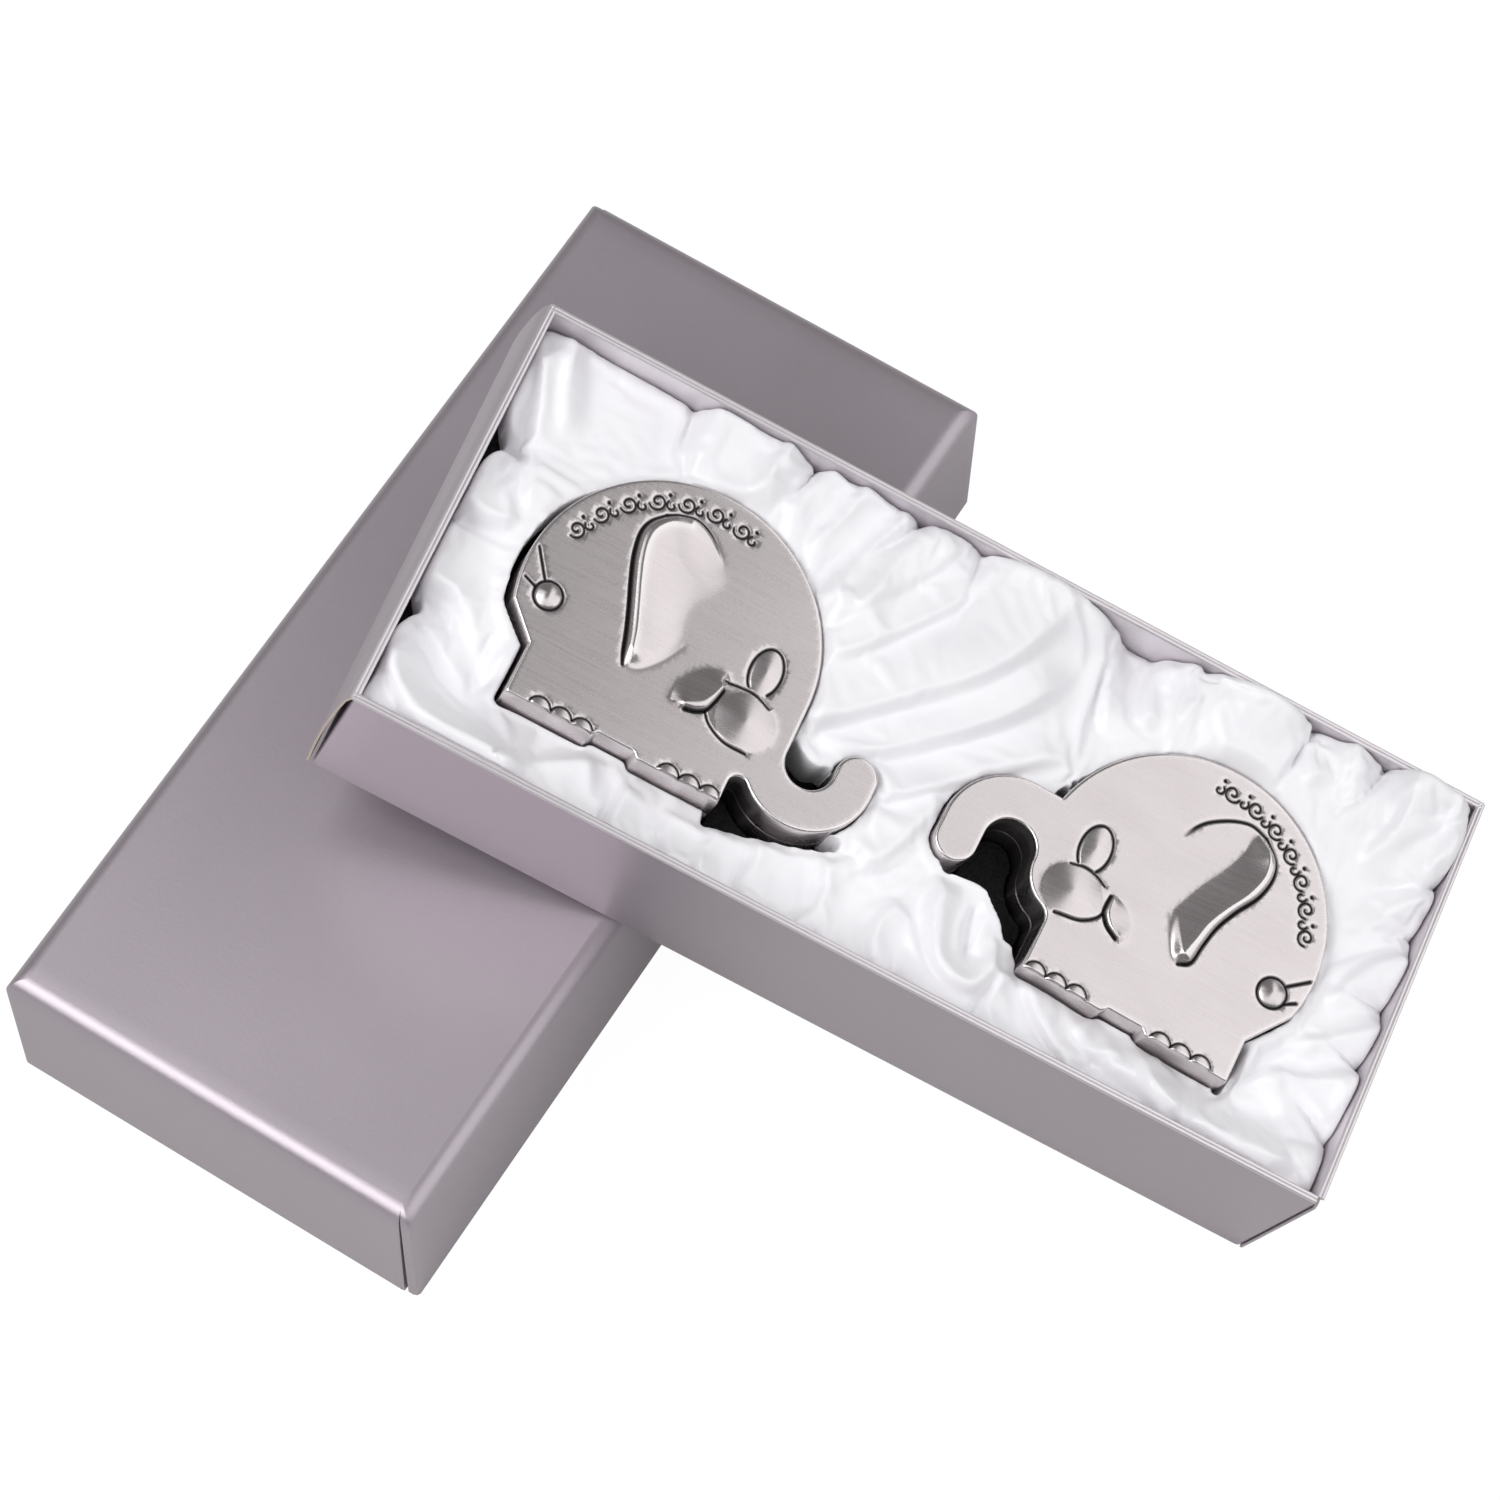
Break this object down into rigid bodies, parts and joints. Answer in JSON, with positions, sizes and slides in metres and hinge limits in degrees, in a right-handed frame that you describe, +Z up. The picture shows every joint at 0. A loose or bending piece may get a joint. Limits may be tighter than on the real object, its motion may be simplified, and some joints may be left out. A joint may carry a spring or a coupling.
{
  "type": "baby tooth and curl keepsake box set",
  "caption": "Elephant-shaped metal keepsake boxes with lift-off lids, for a first tooth and a first curl, nested in a satin-lined card gift tray that leans on its closed card lid.",
  "frame": {"origin": "on the table, under the centre of the whole set's bounding box", "axes": "+Z up; +Y along the closed gift lid's length, away from the viewer; +X across the gift lid towards the leaning tray's low end"},
  "size_m": [0.2028, 0.18, 0.0892],
  "materials": {
    "silver_card": "pearlescent silver-lilac folded card, satin gloss",
    "black_foam": "matt black foam sheet",
    "white_satin": "gathered white satin over wadding",
    "pewter": "brushed pewter finish with dark patina in the grooves",
    "dark_velvet": "dark velvet",
    "dark_felt": "dark felt"
  },
  "bodies": {
    "gift_lid": {"gift_lid": "silver_card", "lid_corner_tab_near_left": "silver_card", "lid_corner_tab_far_left": "silver_card", "lid_corner_tab_near_right": "silver_card", "lid_corner_tab_far_right": "silver_card"},
    "gift_tray": {"gift_tray": "silver_card", "tray_left_flap": "silver_card", "tray_right_flap": "silver_card", "foam_base": "black_foam", "foam_cutout": "black_foam", "satin_lining": "white_satin"},
    "tooth_box": {"tooth_box_base": "pewter", "tooth_box_velvet_pad": "dark_velvet", "tooth_box_felt_foot": "dark_felt"},
    "tooth_box_lid": {"tooth_box_lid": "pewter"},
    "curl_box": {"curl_box_base": "pewter", "curl_box_velvet_pad": "dark_velvet", "curl_box_felt_foot": "dark_felt"},
    "curl_box_lid": {"curl_box_lid": "pewter"}
  },
  "joints": [
    {"name": "tray_lift", "type": "slide", "parent": "gift_lid", "child": "gift_tray", "axis": [0.2866, 0, 0.958], "range_m": [0, 0.06]},
    {"name": "tooth_box_lift", "type": "slide", "parent": "gift_tray", "child": "tooth_box", "axis": [0.2866, 0, 0.958], "range_m": [0, 0.045]},
    {"name": "curl_box_lift", "type": "slide", "parent": "gift_tray", "child": "curl_box", "axis": [0.2866, 0, 0.958], "range_m": [0, 0.045]},
    {"name": "tooth_lid_lift", "type": "slide", "parent": "tooth_box", "child": "tooth_box_lid", "axis": [0.2866, 0, 0.958], "range_m": [0, 0.025]},
    {"name": "curl_lid_lift", "type": "slide", "parent": "curl_box", "child": "curl_box_lid", "axis": [0.2866, 0, 0.958], "range_m": [0, 0.025]}
  ]
}
